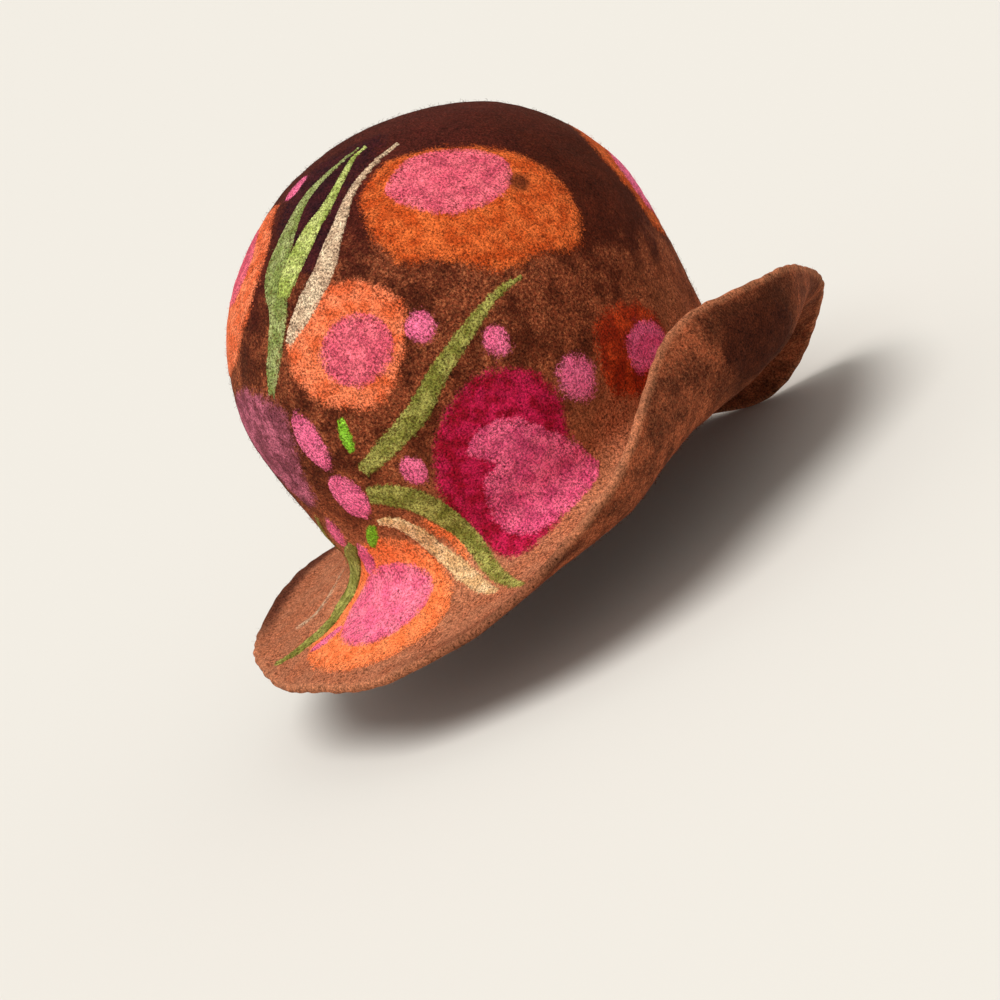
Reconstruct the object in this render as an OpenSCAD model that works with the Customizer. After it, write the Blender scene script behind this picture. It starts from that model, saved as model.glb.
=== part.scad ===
// Wet-felted cloche hat: one seamless felt body whose brim is swept up at the front right,
// flowers and leaves of coloured prefelt laid on it, and a sewn-in ribbon sweatband.
//
// Origin: the centre of the head opening, where the crown meets the brim. +Z runs up the
// crown, the front faces -Y and the wearer's right is -X.
// A place on the felt is [heading, drop]. Headings go round the hat in degrees: 0 front,
// 90 wearer's right, 180 back, 270 wearer's left. Drop is the way down the felt in mm,
// from 0 at the top of the crown, through the brim's root, to the free edge.

/* [Head opening] */
// Half length of the oval where the crown meets the brim, outside the felt
opening_half_length = 103; // [98:1:108]
// Half width of the same oval
opening_half_width = 86; // [82:1:90]

/* [Crown] */
// Widest level of the crown as a multiple of the opening
crown_swell = 1.055; // [1.03:0.005:1.08]
// Height of the widest level above the opening
widest_height = 60; // [52:1:68]
// Height of the dome above the widest level
dome_height = 92; // [84:1:100]
// How far the widest level sits behind the opening
crown_set_back = 3; // [0:0.5:5]

/* [Brim] */
// Length of felt that turns from the crown out into the brim
root_length = 22; // [18:1:26]
// Width added to the brim all the way round
extra_width = 0; // [-4:1:6]
// Waviness of the hand-cut free edge
edge_waviness = 1; // [0:0.1:1.5]

/* [Felt] */
// Thickness of the felt body
felt = 4; // [3:0.5:5]
// Thickness of each prefelt shape
prefelt = 0.5; // [0.4:0.1:0.7]
// Clear height under a prefelt shape, and between one shape and another laid over it
prefelt_gap = 0.4; // [0.3:0.05:0.5]

/* [Sweatband] */
// Height of the ribbon
ribbon_height = 25; // [19:1:30]
// Thickness of the ribbon
ribbon = 0.8; // [0.6:0.1:1]
// Clear space between the ribbon and the felt
ribbon_gap = 0.4; // [0.3:0.1:0.6]
// Length of one stitch
stitch_length = 4; // [3:0.5:5]
// Number of stitches in each row
stitch_count = 44; // [30:1:56]

/* [Hidden] */
// The brim at headings from the front round to the back and on: its width, its slope at
// the end of the root and its slope at the free edge. A slope is 0 where the felt hangs
// straight down, 90 where it lies flat outward and 180 where it stands straight up.
BRIM = [
    // [heading, width, root slope, edge slope]
    [0, 74, 32, 22],
    [18, 70, 60, 88],
    [35, 67, 68, 148],
    [60, 80, 75, 188],
    [90, 82, 92, 204],
    [120, 78, 68, 148],
    [150, 70, 66, 97],
    [180, 69, 67, 84],
    [210, 72, 67, 92],
    [240, 73, 66, 100],
    [270, 66, 60, 85],
    [300, 68, 48, 60],
    [330, 72, 35, 35]
];
HEADINGS = 72;
DOME_ROWS = 9;
WALL_ROWS = 4;
ROOT_ROWS = 5;
BRIM_ROWS = 6;
SAMPLES = 3;
ROUND_SAMPLES = 2;
// Widest step between the rings of a patch
ring_step = 6;

mean_opening = (opening_half_length + opening_half_width) / 2;
mean_widest = mean_opening * crown_swell;
dome_run = PI / 2 * sqrt((pow(mean_widest, 2) + pow(dome_height, 2)) / 2);
wall_run = norm([widest_height, mean_widest - mean_opening]);
root_drop = dome_run + wall_run;
// The wall is the stretch of an ellipse that starts upright at the widest level.
wall_turn = acos(1 / crown_swell);
wall_depth = widest_height / sin(wall_turn);
ribbon_low = 3;
stitch_inset = 3;
lap_degrees = 8;
thread = 0.7;

// ---- curves ----

// Position number i of a closed list, for any whole i
function wrapped(list, i) = list[(i % len(list) + len(list)) % len(list)];

// A smooth curve from b to c, with a before and d after them
function between(a, b, c, d, t) =
    0.5 * (2 * b + (c - a) * t + (2 * a - 5 * b + 4 * c - d) * t * t
        + (3 * b - a - 3 * c + d) * t * t * t);

// A closed list of points with smooth points added between them
function closed_curve(points, samples) = [
    for (i = [0:len(points) - 1], k = [0:samples - 1])
        between(wrapped(points, i - 1), points[i], wrapped(points, i + 1),
            wrapped(points, i + 2), k / samples)
];

// An open list of points with smooth points added between them
function open_curve(points) =
    let (last = len(points) - 1)
    concat([
        for (i = [0:last - 1], k = [0:SAMPLES - 1])
            between(points[max(i - 1, 0)], points[i], points[i + 1],
                points[min(i + 2, last)], k / SAMPLES)
    ], [points[last]]);

// ---- the brim's table ----

function brim_row(i) =
    let (n = len(BRIM), turns = floor(i / n))
    BRIM[i - turns * n] + [360 * turns, 0, 0, 0];

function row_before(heading) = max([for (i = [0:len(BRIM) - 1]) if (BRIM[i][0] <= heading) i]);

// How fast the table changes at row i, per degree
function row_rate(i) =
    let (before = brim_row(i - 1), after = brim_row(i + 1))
    (after - before) / (after[0] - before[0]);

// [heading, width, root slope, edge slope] at any heading, smooth from row to row
function brim_at(heading) =
    let (
        h = heading - 360 * floor(heading / 360),
        i = row_before(h),
        from = brim_row(i),
        to = brim_row(i + 1),
        span = to[0] - from[0],
        t = (h - from[0]) / span
    )
    from * (2 * pow(t, 3) - 3 * pow(t, 2) + 1) + row_rate(i) * span * (pow(t, 3) - 2 * pow(t, 2) + t)
        + to * (3 * pow(t, 2) - 2 * pow(t, 3)) + row_rate(i + 1) * span * (pow(t, 3) - pow(t, 2));

function edge_wave(heading) =
    edge_waviness * (sin(7 * heading + 20) + 0.6 * sin(13 * heading + 80));

function brim_width(heading) = brim_at(heading)[1] + extra_width + edge_wave(heading);

// ---- the felt's outer face ----

// Reach of the opening's oval from the centre, along a heading
function opening_reach(heading) =
    1 / norm([cos(heading) / opening_half_length, sin(heading) / opening_half_width]);

// [reach, height] after following an arc of the given length from start. Its slope, measured
// from straight down towards outward, turns evenly from slope a to slope b.
function along_arc(start, length, a, b) =
    let (turn = abs(b - a) < 0.01 ? 0.01 : b - a, radius = length * 180 / PI / turn)
    start + radius * [cos(a) - cos(a + turn), sin(a) - sin(a + turn)];

// Slope of the wall where it ends at the opening: it leans in by this much
function wall_lean(reach) = -atan2(reach * crown_swell * sin(wall_turn), wall_depth * cos(wall_turn));

function dome_profile(heading, drop) =
    let (tilt = 90 * (1 - drop / dome_run))
    [opening_reach(heading) * crown_swell * cos(tilt), widest_height + dome_height * sin(tilt)];

function wall_profile(heading, drop) =
    let (tilt = wall_turn * (drop - dome_run) / wall_run)
    [opening_reach(heading) * crown_swell * cos(tilt), widest_height - wall_depth * sin(tilt)];

function brim_profile(heading, drop) =
    let (
        reach = opening_reach(heading),
        row = brim_at(heading),
        run = drop - root_drop,
        lean = wall_lean(reach),
        in_root = min(run, root_length),
        root_slope = lean + (row[2] - lean) * in_root / root_length,
        root_end = along_arc([reach, 0], in_root, lean, root_slope),
        beyond = run - in_root,
        rest = brim_width(heading) - root_length
    )
    beyond <= 0 ? root_end
        : along_arc(root_end, beyond, row[2], row[2] + (row[3] - row[2]) * beyond / rest);

function profile(heading, drop) =
    drop <= dome_run ? dome_profile(heading, drop)
        : drop <= root_drop ? wall_profile(heading, drop)
        : brim_profile(heading, drop);

function set_back(height) = crown_set_back * pow(max(0, min(1, height / widest_height)), 1.5);

function face_point(heading, drop) =
    let (p = profile(heading, drop))
    [-p[0] * sin(heading), set_back(p[1]) - p[0] * cos(heading), p[1]];

// Direction out of the felt's outer face
function face_normal(heading, drop) =
    let (
        down = face_point(heading, drop + 0.2) - face_point(heading, drop - 0.2),
        round = face_point(heading + 0.3, drop) - face_point(heading - 0.3, drop),
        out = cross(round, down)
    )
    out / norm(out);

// Point at a height above the outer face; heights below -felt are past the inner face
function on_felt(heading, drop, lift) =
    drop < 1 ? [0, crown_set_back, widest_height + dome_height + lift]
        : face_point(heading, drop) + lift * face_normal(heading, drop);

// Degrees of heading that one millimetre covers at a place
function degrees_per_mm(heading, drop) = 180 / PI / max(profile(heading, drop)[0], 8);

// ---- solids ----

// Closed solid from a first point, through rings of equally many points, to a last point
module lofted(first, rings, last) {
    n = len(rings[0]);
    rows = len(rings);
    points = concat([first], [for (ring = rings) each ring], [last]);
    end = len(points) - 1;
    faces = concat(
        [for (i = [0:n - 1]) [0, 1 + (i + 1) % n, 1 + i]],
        [
            for (r = [0:rows - 2], i = [0:n - 1])
                let (a = 1 + r * n + i, b = 1 + r * n + (i + 1) % n)
                each [[a, b, a + n], [b, b + n, a + n]]
        ],
        [for (i = [0:n - 1]) [end, end - n + i, end - n + (i + 1) % n]]
    );
    polyhedron(points, faces, convexity = 10);
}

function height_of(layer) = prefelt_gap + layer * (prefelt + prefelt_gap);

// Furthest reach in mm of an outline from its centre
function reach_of(centre, outline) =
    let (scale = degrees_per_mm(centre[0], centre[1]))
    max([for (p = outline) norm([(p[0] - centre[0]) / scale, p[1] - centre[1]])]);

// Flat piece of prefelt with a closed outline of [heading, drop] points round its centre.
// Low is the height of its underside above the outer face.
module patch(centre, outline, low, samples = SAMPLES) {
    edge = closed_curve(outline, samples);
    rings = ceil(reach_of(centre, outline) / ring_step);
    function ring(part, lift) = [
        for (p = edge)
            let (q = centre + (p - centre) * part)
            on_felt(q[0], q[1], lift)
    ];
    lofted(
        on_felt(centre[0], centre[1], low + prefelt),
        concat(
            [for (k = [1:rings]) ring(k / rings, low + prefelt)],
            [for (k = [rings:-1:1]) ring(k / rings, low)]
        ),
        on_felt(centre[0], centre[1], low)
    );
}

// Outline of a rounded shape, half_across wide each way and half_down long each way,
// turned by lean degrees
function rounded(centre, half_across, half_down, lean = 0) =
    let (scale = degrees_per_mm(centre[0], centre[1]))
    [
        for (a = [0:45:315])
            let (x = half_across * cos(a), y = half_down * sin(a))
            centre + [(x * cos(lean) - y * sin(lean)) * scale, x * sin(lean) + y * cos(lean)]
    ];

module rounded_patch(centre, half_across, half_down, lean, low) {
    patch(centre, rounded(centre, half_across, half_down, lean), low, ROUND_SAMPLES);
}

// Strip of prefelt along [heading, drop, width] points
module blade(points, low) {
    path = open_curve(points);
    last = len(path) - 1;
    function section(i) =
        let (
            p = path[i],
            step = path[min(i + 1, last)] - path[max(i - 1, 0)],
            scale = degrees_per_mm(p[0], p[1]),
            along = [step[0] / scale, step[1]] / norm([step[0] / scale, step[1]]),
            side = [-along[1] * scale, along[0]] * p[2] / 2,
            a = [p[0], p[1]] + side,
            b = [p[0], p[1]] - side
        )
        [
            on_felt(a[0], a[1], low),
            on_felt(a[0], a[1], low + prefelt),
            on_felt(b[0], b[1], low + prefelt),
            on_felt(b[0], b[1], low)
        ];
    lofted(
        on_felt(path[0][0], path[0][1], low + prefelt / 2),
        [for (i = [0:last]) section(i)],
        on_felt(path[last][0], path[last][1], low + prefelt / 2)
    );
}

// ---- felt body ----

function drop_rows(heading) = concat(
    [for (k = [1:DOME_ROWS]) dome_run * k / DOME_ROWS],
    [for (k = [1:WALL_ROWS]) dome_run + wall_run * k / WALL_ROWS],
    [for (k = [1:ROOT_ROWS]) root_drop + root_length * k / ROOT_ROWS],
    [
        for (k = [1:BRIM_ROWS])
            root_drop + root_length + (brim_width(heading) - root_length) * k / BRIM_ROWS
    ]
);

module felt_body() {
    rows = DOME_ROWS + WALL_ROWS + ROOT_ROWS + BRIM_ROWS;
    headings = [for (i = [0:HEADINGS - 1]) i * 360 / HEADINGS];
    function row(k, lift) = [for (h = headings) on_felt(h, drop_rows(h)[k], lift)];
    rounded_edge = [for (h = headings) on_felt(h, root_drop + brim_width(h) + felt / 3, -felt / 2)];
    color("#6b3a24")
    lofted(
        on_felt(0, 0, 0),
        concat(
            [for (k = [0:rows - 1]) row(k, 0)],
            [rounded_edge],
            [for (k = [rows - 1:-1:0]) row(k, -felt)]
        ),
        on_felt(0, 0, -felt)
    );
}

// ---- sweatband ----

// Height of the ribbon's felt-side face: level round the head, then stepping in over its
// own end where it laps at the back
function ribbon_lift(heading) =
    let (lapped = max(0, min(1, (heading - 534) / 5)))
    -felt - ribbon_gap - (ribbon + 0.3) * lapped * lapped * (3 - 2 * lapped);

module sweatband() {
    start = 180;
    steps = 72;
    span = 360 + lap_degrees;
    top = root_drop - ribbon_low - ribbon_height;
    bottom = root_drop - ribbon_low;
    function section(h) = [
        on_felt(h, top, ribbon_lift(h) - ribbon),
        on_felt(h, top, ribbon_lift(h)),
        on_felt(h, bottom, ribbon_lift(h)),
        on_felt(h, bottom, ribbon_lift(h) - ribbon)
    ];
    function middle(h) = on_felt(h, (top + bottom) / 2, ribbon_lift(h) - ribbon / 2);
    color("#3a241c")
    lofted(
        middle(start),
        [for (i = [0:steps]) section(start + span * i / steps)],
        middle(start + span)
    );
}

// One straight stitch lying on the ribbon's head-side face
module stitch(heading, drop) {
    half = stitch_length / 2 * degrees_per_mm(heading, drop);
    lift = ribbon_lift(heading) - ribbon - thread;
    a = on_felt(heading - half, drop, lift);
    b = on_felt(heading + half, drop, lift);
    run = b - a;
    translate(a)
    rotate([0, acos(run[2] / norm(run)), atan2(run[1], run[0])])
    cylinder(d = thread, h = norm(run), $fn = 8);
}

module sweatband_stitches() {
    color("#5a3a2c")
    for (i = [0:stitch_count - 1], drop = [root_drop - ribbon_low - stitch_inset,
            root_drop - ribbon_low - ribbon_height + stitch_inset])
        stitch(192 + 336 * i / (stitch_count - 1), drop);
}

// ---- flowers ----

module crown_flower_petals() {
    color("#c9602c")
    patch([97, 88], [[133, 54], [108, 42], [82, 57], [67, 85], [68, 114], [80, 137],
        [92, 129], [107, 123], [117, 106], [131, 92]], height_of(0));
}

module crown_flower_heart() {
    color("#cf5f78")
    patch([95, 75], [[120, 56], [98, 50], [80, 63], [73, 82], [80, 94], [93, 96],
        [107, 88], [117, 74]], height_of(1));
}

module back_flower_petals() {
    color("#d0703f")
    patch([151, 116], [[169, 104], [163, 90], [150, 86], [138, 97], [134, 115], [142, 134],
        [150, 145], [160, 138], [168, 122]], height_of(0));
}

module back_flower_heart() {
    color("#d8607c")
    rounded_patch([150, 118], 17, 16, 0, height_of(1));
}

module nape_flower_petals() {
    color("#c9602c")
    patch([208, 78], [[184, 78], [183, 62], [190, 47], [208, 37], [227, 47], [237, 76],
        [229, 104], [214, 116], [199, 111], [189, 96]], height_of(1));
}

module nape_flower_heart() {
    color("#d8607c")
    rounded_patch([212, 68], 19, 18, 0, height_of(2));
}

module brow_flower_petals() {
    color("#a8401c")
    patch([84, 188], [[92, 168], [83, 166], [73, 174], [68, 190], [76, 206], [90, 207],
        [99, 196], [97, 182]], height_of(0));
}

module brow_flower_heart() {
    color("#a83c5c")
    patch([78, 191], [[86, 184], [78, 180], [71, 186], [70, 197], [78, 202], [87, 198]],
        height_of(1));
}

module front_flower_petals() {
    color("#c9602c")
    patch([19, 138], [[42, 121], [28, 104], [10, 104], [-4, 121], [-5, 148], [6, 168],
        [26, 172], [41, 160]], height_of(0));
}

module front_flower_heart() {
    color("#cf5f78")
    rounded_patch([25, 142], 27, 19, 0, height_of(1));
}

module left_flower_petals() {
    color("#d0703f")
    patch([288, 122], [[266, 112], [278, 96], [292, 90], [306, 104], [311, 124], [301, 148],
        [284, 154], [269, 140]], height_of(0));
}

module left_flower_heart() {
    color("#d8607c")
    rounded_patch([289, 120], 20, 16, 20, height_of(1));
}

module brim_flower_petals() {
    color("#e08040")
    patch([180, 238], [[196, 266], [204, 247], [197, 220], [179, 201], [167, 206], [160, 226],
        [158, 245], [163, 262], [178, 271]], height_of(0));
}

module brim_flower_heart() {
    color("#e87890")
    patch([178, 236], [[189, 251], [194, 233], [187, 219], [175, 215], [166, 222], [164, 234],
        [168, 248], [177, 257]], height_of(1));
}

module tulip_cup() {
    color("#8c1430")
    patch([132, 194], [[128, 154], [117, 162], [112, 176], [114, 195], [119, 213], [128, 231],
        [141, 238], [148, 226], [152, 207], [151, 187], [143, 166]], height_of(0));
}

module tulip_petal() {
    color("#cc5c7c")
    patch([126, 204], [[140, 181], [133, 175], [126, 178], [119, 193], [112, 219], [122, 227],
        [133, 231], [142, 224], [144, 210], [141, 197], [136, 193], [138, 187]], height_of(1));
}

// ---- dyed patches ----

module dark_crown_patch() {
    color("#33181c")
    patch([150, 34], [[182, 52], [192, 34], [190, 12], [110, 8], [76, 20], [96, 31],
        [114, 37], [134, 46], [141, 58], [149, 72], [157, 80], [165, 70], [173, 60]],
        height_of(0));
}

// The only patch on the underside, where the brim is turned up
module dark_brim_patch() {
    color("#38201c")
    patch([70, 270], [[79, 284], [70, 286], [62, 281], [59, 270], [62, 259], [69, 254],
        [77, 256], [83, 268]], -felt - height_of(0) - prefelt);
}

module mauve_patch() {
    color("#a05a68")
    patch([189, 146], [[207, 128], [194, 118], [181, 121], [175, 132], [177, 147], [181, 162],
        [184, 176], [191, 178], [199, 160], [205, 142]], height_of(0));
}

module pink_dots() {
    color("#dc6c88") {
        rounded_patch([133, 123], 7, 7, 0, height_of(1));
        rounded_patch([118, 147], 6, 7, 0, height_of(1));
        rounded_patch([105, 181], 9.5, 11, 0, height_of(1));
        rounded_patch([153, 177], 5.5, 7, 0, height_of(2));
        rounded_patch([172, 147], 7, 15, 0, height_of(1));
        rounded_patch([172, 177], 9, 12, 0, height_of(2));
        rounded_patch([195, 27], 5, 7, 0, height_of(2));
        rounded_patch([252, 128], 9, 9, 0, height_of(1));
        rounded_patch([262, 165], 8, 10, 0, height_of(1));
        rounded_patch([320, 160], 8, 8, 0, height_of(1));
    }
}

module pink_streaks() {
    color("#d06a80") {
        blade([[185, 187, 5], [188, 195, 11], [191, 203, 6]], height_of(1));
        blade([[181, 203, 5], [184, 211, 10], [187, 219, 5]], height_of(2));
        blade([[192, 246, 4], [195, 254, 7], [198, 261, 3]], height_of(2));
    }
}

module orange_fleck() {
    color("#dc7a42")
    blade([[159, 199, 3], [157, 208, 8], [155, 217, 7], [154, 226, 3]], height_of(0));
}

// ---- leaves ----

module long_leaf() {
    color("#8c843e")
    blade([[102, 130, 2], [112, 130, 4], [122, 135, 7], [134, 144, 9], [144, 155, 10],
        [156, 163, 9], [164, 168, 6]], height_of(2));
}

module left_leaf() {
    color("#8c843e")
    blade([[236, 190, 8], [246, 180, 9], [256, 178, 8], [270, 174, 7], [286, 166, 5],
        [300, 166, 2]], height_of(0));
}

module grass_blade() {
    color("#a0a060")
    blade([[110, 18, 2], [138, 20, 3], [156, 25, 4], [167, 32, 5], [171, 41, 7], [172, 51, 10],
        [173, 61, 13], [173, 72, 15], [171, 85, 12], [172, 98, 10], [175, 111, 8],
        [178, 122, 4]], height_of(2));
}

// Leans on the grass blade at its foot.
module lime_blade() {
    color("#b4bc68")
    blade([[104, 22, 2], [125, 24, 3], [137, 31, 4], [145, 39, 5], [151, 47, 7], [157, 54, 9],
        [162, 63, 11], [166, 72, 11], [169, 83, 7]], height_of(3));
}

module cream_blades() {
    color("#c8a080") {
        blade([[88, 36, 2], [106, 36, 3], [125, 40, 4], [137, 48, 5], [144, 59, 7], [149, 69, 9],
            [153, 79, 11], [159, 88, 11], [164, 96, 9], [168, 103, 4]], height_of(2));
        blade([[223, 234, 2], [215, 241, 4], [212, 251, 4], [214, 262, 2]], height_of(0));
    }
}

module arched_leaf() {
    color("#a0944c")
    blade([[167, 179, 8], [162, 183, 12], [157, 191, 12], [154, 203, 11], [152, 215, 9],
        [150, 227, 8], [147, 240, 7], [143, 254, 5], [139, 267, 2]], height_of(2));
}

module arched_blade() {
    color("#e8b87c")
    blade([[170, 193, 4], [166, 196, 7], [163, 204, 8], [161, 216, 8], [156, 229, 8],
        [151, 242, 7], [146, 255, 3]], height_of(3));
}

module brim_blades() {
    color("#b09a5c") {
        blade([[184, 202, 5], [192, 211, 11], [199, 222, 15], [201, 234, 15], [200, 245, 12],
            [202, 257, 9], [203, 267, 6], [205, 277, 3]], height_of(3));
        blade([[191, 185, 3], [197, 196, 4], [203, 208, 4], [211, 221, 2]], height_of(1));
    }
}

module green_buds() {
    color("#8cb030") {
        blade([[161, 142, 3], [162, 150, 6], [163, 158, 3]], height_of(1));
        blade([[172, 194, 3], [175, 199, 6], [178, 205, 3]], height_of(1));
    }
}

felt_body();
sweatband();
sweatband_stitches();
crown_flower_petals();
crown_flower_heart();
back_flower_petals();
back_flower_heart();
nape_flower_petals();
nape_flower_heart();
brow_flower_petals();
brow_flower_heart();
front_flower_petals();
front_flower_heart();
left_flower_petals();
left_flower_heart();
brim_flower_petals();
brim_flower_heart();
tulip_cup();
tulip_petal();
dark_crown_patch();
dark_brim_patch();
mauve_patch();
pink_dots();
pink_streaks();
orange_fleck();
long_leaf();
left_leaf();
grass_blade();
lime_blade();
cream_blades();
arched_leaf();
arched_blade();
brim_blades();
green_buds();
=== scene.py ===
import math

import bpy
import numpy as np
from mathutils import Matrix, Vector
from mathutils.bvhtree import BVHTree
from mathutils.kdtree import KDTree


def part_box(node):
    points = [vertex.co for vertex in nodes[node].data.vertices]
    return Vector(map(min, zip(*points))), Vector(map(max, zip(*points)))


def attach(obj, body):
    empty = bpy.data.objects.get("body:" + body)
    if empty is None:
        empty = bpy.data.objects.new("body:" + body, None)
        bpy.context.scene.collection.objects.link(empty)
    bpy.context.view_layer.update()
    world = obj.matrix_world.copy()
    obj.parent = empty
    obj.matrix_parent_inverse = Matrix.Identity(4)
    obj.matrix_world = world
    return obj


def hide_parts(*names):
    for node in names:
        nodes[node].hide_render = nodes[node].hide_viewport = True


# A wet-felted cloche hat: one seamless felt body, flowers and leaves of coloured prefelt
# felted into it, and a sewn-in grosgrain ribbon. The felt's shape is the CAD model's own
# formulas at a finer step, in mm, with the unevenness of handmade felt added. A place on
# the felt is a heading in degrees (0 front, 90 wearer's right) and a drop in mm down the
# felt from the top of the crown.

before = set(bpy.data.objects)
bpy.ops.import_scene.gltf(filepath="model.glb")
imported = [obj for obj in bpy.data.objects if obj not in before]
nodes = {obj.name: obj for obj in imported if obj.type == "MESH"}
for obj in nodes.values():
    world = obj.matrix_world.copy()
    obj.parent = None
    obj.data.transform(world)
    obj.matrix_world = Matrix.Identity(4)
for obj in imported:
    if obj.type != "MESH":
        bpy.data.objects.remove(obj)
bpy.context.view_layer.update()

MM = 0.001

# ---- the hat's driving sizes, in mm and degrees ----

# Half the length and half the width of the oval head opening, outside the felt
HALF_LENGTH = 103
HALF_WIDTH = 86
# The crown at its widest, as a multiple of the opening, and the height of that level
SWELL = 1.055
WIDEST_HEIGHT = 60
# Height of the dome over the widest level
DOME_HEIGHT = 92
# How far back the crown stands at its widest, and how sharply that grows with height
SET_BACK = 3
SET_BACK_POWER = 1.5
# Length, down the felt, of the bend where the wall turns into the brim
ROOT_LENGTH = 22
# Thickness of the felt
FELT = 4
# What follows from them: the wall's curve, the mean reaches, and the runs down the felt
WALL_TURN = math.acos(1 / SWELL)
WALL_DEPTH = WIDEST_HEIGHT / math.sin(WALL_TURN)
MEAN_OPENING = (HALF_LENGTH + HALF_WIDTH) / 2
MEAN_WIDEST = MEAN_OPENING * SWELL
DOME_RUN = math.pi / 2 * math.sqrt((MEAN_WIDEST**2 + DOME_HEIGHT**2) / 2)
WALL_RUN = math.hypot(WIDEST_HEIGHT, MEAN_WIDEST - MEAN_OPENING)
ROOT_DROP = DOME_RUN + WALL_RUN
ROOT_END = ROOT_DROP + ROOT_LENGTH

# Brim: heading, width, slope at the end of the root and slope at the free edge
BRIM = np.array(
    [
        [0, 74, 32, 22],
        [18, 70, 60, 88],
        [35, 67, 68, 148],
        [60, 80, 75, 188],
        [90, 82, 92, 204],
        [120, 78, 68, 148],
        [150, 70, 66, 97],
        [180, 69, 67, 84],
        [210, 72, 67, 92],
        [240, 73, 66, 100],
        [270, 66, 60, 85],
        [300, 68, 48, 60],
        [330, 72, 35, 35],
    ],
    float,
)

# Waves along the brim's free edge: how many, their phase in degrees and their depth
BRIM_WAVES = ((7, 20, 1.0), (13, 80, 0.6))

# Sweatband ribbon: its size, the gap to the felt, and how far above the brim's root it ends
RIBBON_HEIGHT = 25
RIBBON = 0.8
RIBBON_GAP = 0.4
RIBBON_LOW = 3
RIBBON_START = 180
RIBBON_SPAN = 368
# Before it laps its own start the ribbon steps in between these headings.
LAP_STEP = (RIBBON_START + 354, RIBBON_START + 359)
LAP_CLEARANCE = 0.3
# Its ribs: how many, how deep, their share of that on the felt's side, and how far in from
# the ribbon's faces they are centred; and the plain selvedges, as shares of its height
RIB_COUNT = 480
RIB_DEPTH = 0.09
FELT_SIDE_RIB = 0.6
RIB_INSET = 0.1
SELVEDGE = (0.03, 0.06)
# Stitches along both edges of the ribbon
STITCH_LENGTH = 4
STITCH_COUNT = 44
STITCH_INSET = 3
STITCH_START = RIBBON_START + 12
STITCH_SPAN = 336
# Thread: its diameter, how far a stitch's middle stands off the ribbon and its ends dip, as
# shares of the radius, and the twist and groove of its two plies
THREAD = 0.7
STITCH_STAND = 0.55
STITCH_DIP = 0.9
PLY_TWIST = 2.2
PLY_GROOVE = 0.14

# Handmade unevenness of the felt: the height of its lumps and how wide they are
LUMPS = ((0.5, 34), (0.2, 12), (0.07, 3.6))
INNER_LUMPS = (0.12, 9)
# How deep the free edge is ragged, and the length of its notches
RAGGED = 0.35
NOTCH = 4.5
# How far the rounded free edge bulges past the ends of the two faces
EDGE_BULGE = FELT / 3

# ---- the grid ----

# Points round the hat, and rows down its outer face, round its free edge and up inside it
COLUMNS = 1040
CROWN_ROWS = 232
BRIM_ROWS = 54
EDGE_ROWS = 7
INNER_ROWS = 40
BRIM_INNER_ROWS = 16
# Drop of the last row on the inside, next to the closing point at the crown's top
INNER_TOP = 7
# The body takes every second row and column of the grid that its inlays are cut from.
BODY_STEP = 2
# How far an inlay's hidden margin reaches past its outline, how deep that margin is sunk,
# how deep the inlay's underside lies, and where across the outline its top comes up
MARGIN = 2.4
SINK = 0.25
BED = 0.9
RIM_RISE = (-1.6, 1.2)
# Height of the lowest inlays over the felt, and of each further layer
RISE = 0.16
LAYER_RISE = 0.13
# Outlines further than this from a point don't matter to it.
FAR = 14
# Waves that are summed to make a field of lumps
WAVES = 32
# Loose fibre ends standing off the felt, how thick each is, and the ranges of their length,
# and of their rise off the felt and bend sideways as shares of it
FIBRES = 18000
FIBRE_WIDTH = 0.13
FIBRE_LENGTHS = (1.0, 2.6)
FIBRE_RISES = (0.25, 0.75)
FIBRE_BENDS = (-0.35, 0.35)
FIBRE_ROOT = 0.3


# ---- shape ----

# An arc that turns by less than this, in radians, is followed as if it turned this much.
STRAIGHT = 2e-4
# The face's direction is measured over these steps down and around, no nearer to the
# crown's top than TOP_DROP.
DOWN_STEP = 0.2
AROUND_STEP = 0.3
TOP_DROP = 0.5


def brim_at(heading):
    """Width, root slope and edge slope of the brim at each heading, smooth from row to row."""
    turn = np.array([360, 0, 0, 0])
    table = np.vstack([BRIM[-1:] - turn, BRIM, BRIM[:2] + turn])
    rates = (table[2:] - table[:-2]) / (table[2:, :1] - table[:-2, :1])
    rows = table[1:-1]
    at = heading % 360
    i = np.searchsorted(rows[:, 0], at, side="right") - 1
    span = (rows[i + 1, 0] - rows[i, 0])[..., None]
    t = ((at - rows[i, 0]) / span[..., 0])[..., None]
    curve = (
        rows[i] * (2 * t**3 - 3 * t**2 + 1)
        + rates[i] * span * (t**3 - 2 * t**2 + t)
        + rows[i + 1] * (3 * t**2 - 2 * t**3)
        + rates[i + 1] * span * (t**3 - t**2)
    )
    return curve[..., 1], np.radians(curve[..., 2]), np.radians(curve[..., 3])


def brim_width(heading):
    """Width of the brim with its free edge's waves."""
    waves = sum(
        depth * np.sin(np.radians(count * heading + phase)) for count, phase, depth in BRIM_WAVES
    )
    return brim_at(heading)[0] + waves


def opening_reach(heading):
    """Reach from the hat's axis to the oval of the head opening."""
    a = np.radians(heading)
    return 1 / np.hypot(np.cos(a) / HALF_LENGTH, np.sin(a) / HALF_WIDTH)


def along_arc(reach, height, length, start, end):
    """Reach and height after following an arc whose slope turns evenly from start to end."""
    turn = np.where(np.abs(end - start) < STRAIGHT, STRAIGHT, end - start)
    radius = length / turn
    return (
        reach + radius * (np.cos(start) - np.cos(start + turn)),
        height + radius * (np.sin(start) - np.sin(start + turn)),
    )


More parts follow.
